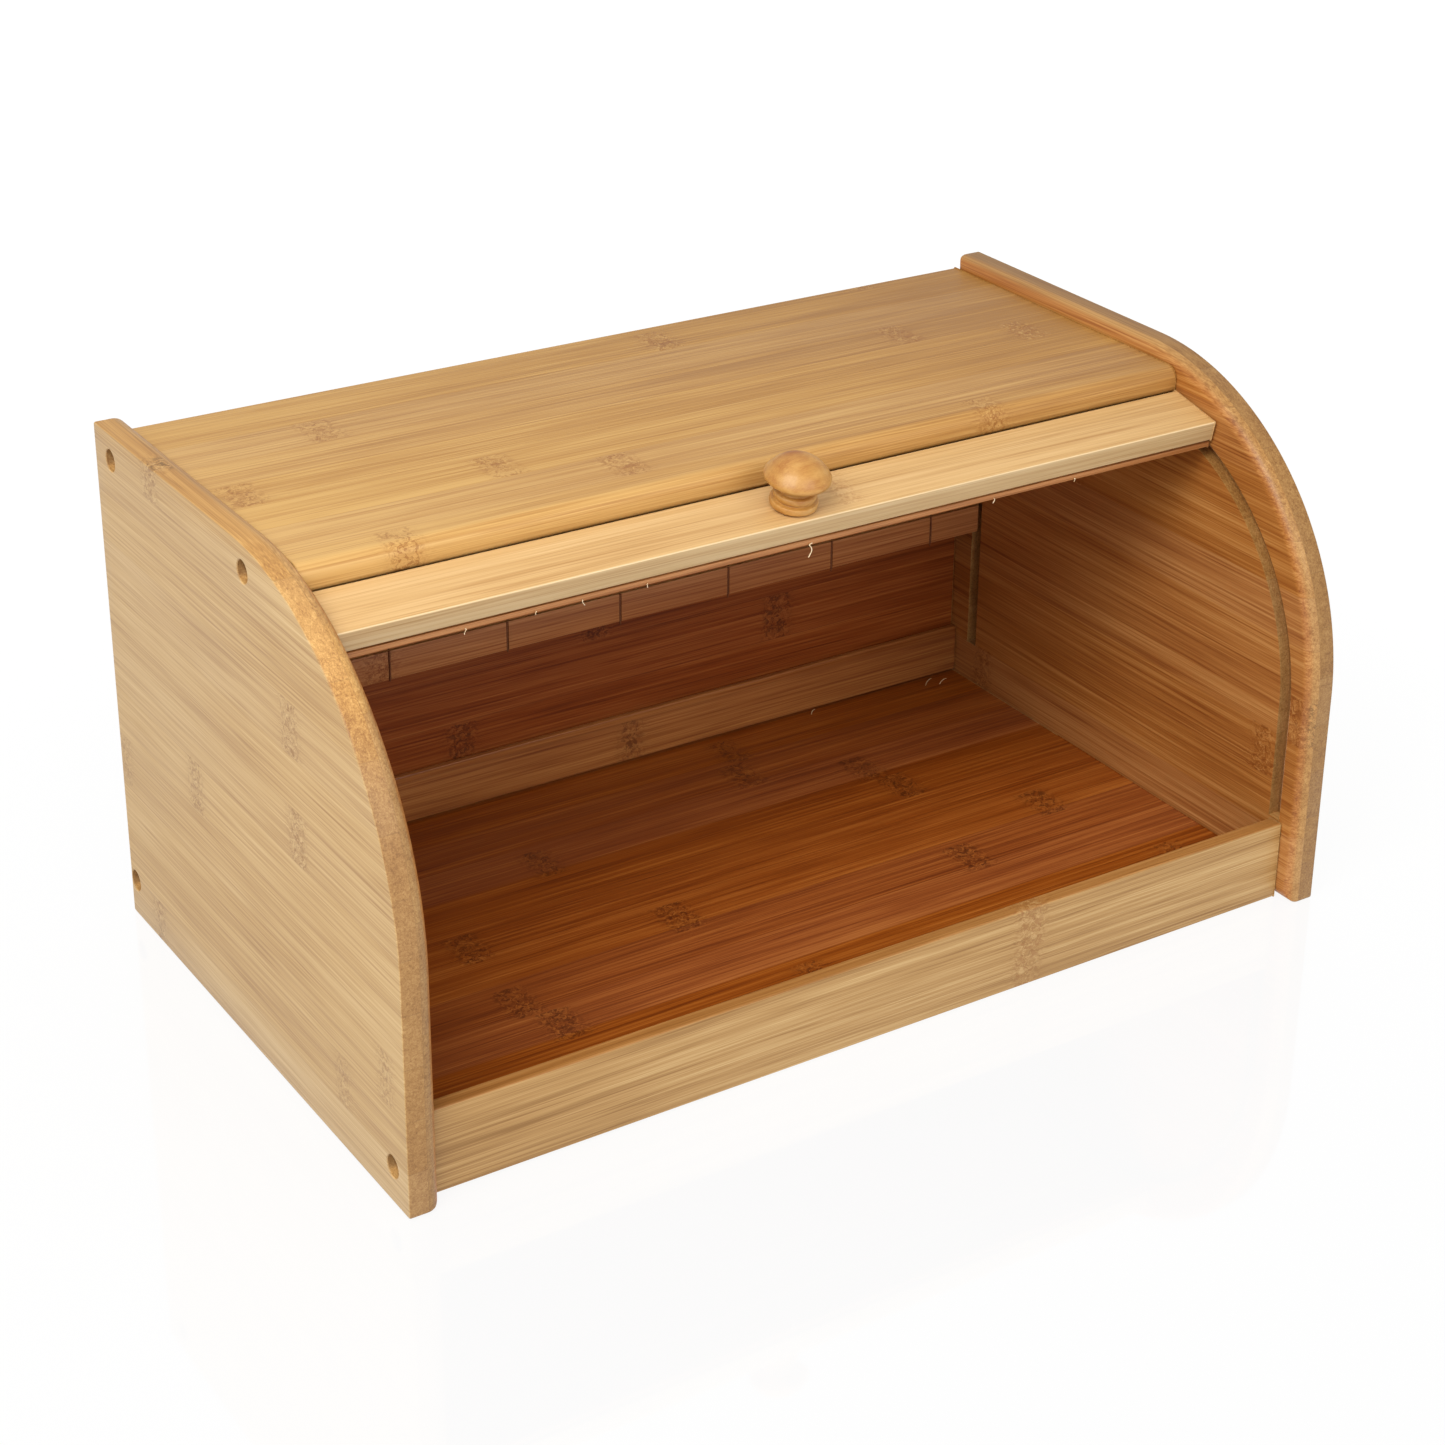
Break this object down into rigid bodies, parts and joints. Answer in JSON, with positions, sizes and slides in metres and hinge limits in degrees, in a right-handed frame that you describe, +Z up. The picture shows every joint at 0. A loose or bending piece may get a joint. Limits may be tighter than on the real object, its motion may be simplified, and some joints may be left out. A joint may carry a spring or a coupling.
{
  "type": "roll-top bread box",
  "caption": "Bamboo countertop bread box with a tambour roll-top door that slides up over the front on a turned knob.",
  "frame": {"origin": "middle of the footprint, on the surface the box stands on", "axes": "+X to the box's right-hand side panel seen from the front, the door faces -Y, +Z up"},
  "size_m": [0.4, 0.237, 0.207],
  "materials": {
    "bamboo_side": "clear-coated laminated bamboo, satin",
    "bamboo_top": "clear-coated laminated bamboo, satin, golden",
    "bamboo_pale": "clear-coated bamboo strip, satin",
    "bamboo_inner": "clear-coated laminated bamboo, satin",
    "knob_wood": "turned and lacquered wood",
    "screw_steel": "zinc-plated steel"
  },
  "bodies": {
    "root": {"side_panel_left": "bamboo_side", "side_panel_right": "bamboo_side", "top_panel": "bamboo_top", "bottom_panel": "bamboo_inner", "back_panel": "bamboo_inner", "back_strip": "bamboo_inner", "front_rail": "bamboo_pale", "screw_left_top_rear": "screw_steel", "screw_left_top_front": "screw_steel", "screw_left_bottom_rear": "screw_steel", "screw_left_bottom_front": "screw_steel", "screw_right_top_rear": "screw_steel", "screw_right_top_front": "screw_steel", "screw_right_bottom_rear": "screw_steel", "screw_right_bottom_front": "screw_steel"},
    "door_pull": {"pull_rail": "bamboo_pale", "pull_rail_tongue": "bamboo_pale", "knob": "knob_wood", "knob_screw": "screw_steel"},
    "door_slat_01": {"slat_01": "bamboo_pale"},
    "door_slat_02": {"slat_02": "bamboo_pale"},
    "door_slat_03": {"slat_03": "bamboo_pale"},
    "door_slat_04": {"slat_04": "bamboo_pale"},
    "door_slat_05": {"slat_05": "bamboo_pale"},
    "door_slat_06": {"slat_06": "bamboo_pale"},
    "door_slat_07": {"slat_07": "bamboo_pale"},
    "door_slat_08": {"slat_08": "bamboo_pale"},
    "door_slat_09": {"slat_09": "bamboo_pale"},
    "door_slat_10": {"slat_10": "bamboo_pale"},
    "door_slat_11": {"slat_11": "bamboo_pale"},
    "door_slat_12": {"slat_12": "bamboo_pale"},
    "door_slat_13": {"slat_13": "bamboo_pale"},
    "door_slat_14": {"slat_14": "bamboo_pale"},
    "door_slat_15": {"slat_15": "bamboo_pale"}
  },
  "joints": [
    {"name": "door_roll", "type": "hinge", "parent": "root", "child": "door_slat_06", "pos_m": [0, 0.01722, 0.0435], "axis": [1, 0, 0], "range_deg": [0, 63.43]},
    {"name": "slat_05_hinge", "type": "hinge", "parent": "door_slat_06", "child": "door_slat_05", "pos_m": [0, 0.03816, 0.1797], "axis": [1, 0, 0], "range_deg": [0, 5.27]},
    {"name": "slat_04_hinge", "type": "hinge", "parent": "door_slat_06", "child": "door_slat_04", "pos_m": [0, 0.03051, 0.17935], "axis": [1, 0, 0], "range_deg": [0, 12.83]},
    {"name": "slat_03_hinge", "type": "hinge", "parent": "door_slat_06", "child": "door_slat_03", "pos_m": [0, 0.02373, 0.17872], "axis": [1, 0, 0], "range_deg": [0, 20.4]},
    {"name": "slat_02_hinge", "type": "hinge", "parent": "door_slat_06", "child": "door_slat_02", "pos_m": [0, 0.01925, 0.1781], "axis": [1, 0, 0], "range_deg": [0, 24.98]},
    {"name": "slat_01_hinge", "type": "hinge", "parent": "door_slat_06", "child": "door_slat_01", "pos_m": [0, 0.03066, 0.18015], "axis": [1, 0, 0], "range_deg": [0, 18.5]},
    {"name": "pull_rail_hinge", "type": "hinge", "parent": "door_slat_06", "child": "door_pull", "pos_m": [0, 0.04623, 0.1834], "axis": [1, 0, 0], "range_deg": [0, 14.48]},
    {"name": "slat_07_hinge", "type": "hinge", "parent": "door_slat_06", "child": "door_slat_07", "pos_m": [0, 0.0511, 0.17918], "axis": [1, 0, 0], "range_deg": [0, 5.87]},
    {"name": "slat_08_hinge", "type": "hinge", "parent": "door_slat_06", "child": "door_slat_08", "pos_m": [0, 0.05814, 0.17758], "axis": [1, 0, 0], "range_deg": [0, 13.19]},
    {"name": "slat_09_hinge", "type": "hinge", "parent": "door_slat_06", "child": "door_slat_09", "pos_m": [0, 0.0644, 0.17523], "axis": [1, 0, 0], "range_deg": [0, 20.51]},
    {"name": "slat_10_hinge", "type": "hinge", "parent": "door_slat_06", "child": "door_slat_10", "pos_m": [0, 0.0702, 0.17212], "axis": [1, 0, 0], "range_deg": [0, 27.84]},
    {"name": "slat_11_hinge", "type": "hinge", "parent": "door_slat_06", "child": "door_slat_11", "pos_m": [0, 0.07551, 0.1683], "axis": [1, 0, 0], "range_deg": [0, 35.16]},
    {"name": "slat_12_hinge", "type": "hinge", "parent": "door_slat_06", "child": "door_slat_12", "pos_m": [0, 0.07915, 0.16487], "axis": [1, 0, 0], "range_deg": [0, 40.53]},
    {"name": "slat_13_hinge", "type": "hinge", "parent": "door_slat_12", "child": "door_slat_13", "pos_m": [0, 0.0939, 0.12307], "axis": [1, 0, 0], "range_deg": [-5.8, 0]},
    {"name": "slat_14_hinge", "type": "hinge", "parent": "door_slat_12", "child": "door_slat_14", "pos_m": [0, 0.09354, 0.11603], "axis": [1, 0, 0], "range_deg": [-12.69, 0]},
    {"name": "slat_15_hinge", "type": "hinge", "parent": "door_slat_12", "child": "door_slat_15", "pos_m": [0, 0.09336, 0.11404], "axis": [1, 0, 0], "range_deg": [-14.19, 0]}
  ],
  "couplings": [
    {"joint": "slat_05_hinge", "follows": "door_roll", "ratio": 0.082914},
    {"joint": "slat_04_hinge", "follows": "door_roll", "ratio": 0.2022},
    {"joint": "slat_03_hinge", "follows": "door_roll", "ratio": 0.32149},
    {"joint": "slat_02_hinge", "follows": "door_roll", "ratio": 0.39366},
    {"joint": "slat_01_hinge", "follows": "door_roll", "ratio": 0.29148},
    {"joint": "pull_rail_hinge", "follows": "door_roll", "ratio": 0.22822},
    {"joint": "slat_07_hinge", "follows": "door_roll", "ratio": 0.09232},
    {"joint": "slat_08_hinge", "follows": "door_roll", "ratio": 0.2078},
    {"joint": "slat_09_hinge", "follows": "door_roll", "ratio": 0.32328},
    {"joint": "slat_10_hinge", "follows": "door_roll", "ratio": 0.43876},
    {"joint": "slat_11_hinge", "follows": "door_roll", "ratio": 0.55424},
    {"joint": "slat_12_hinge", "follows": "door_roll", "ratio": 0.63891},
    {"joint": "slat_13_hinge", "follows": "door_roll", "ratio": -0.091286},
    {"joint": "slat_14_hinge", "follows": "door_roll", "ratio": -0.19996},
    {"joint": "slat_15_hinge", "follows": "door_roll", "ratio": -0.22361}
  ]
}
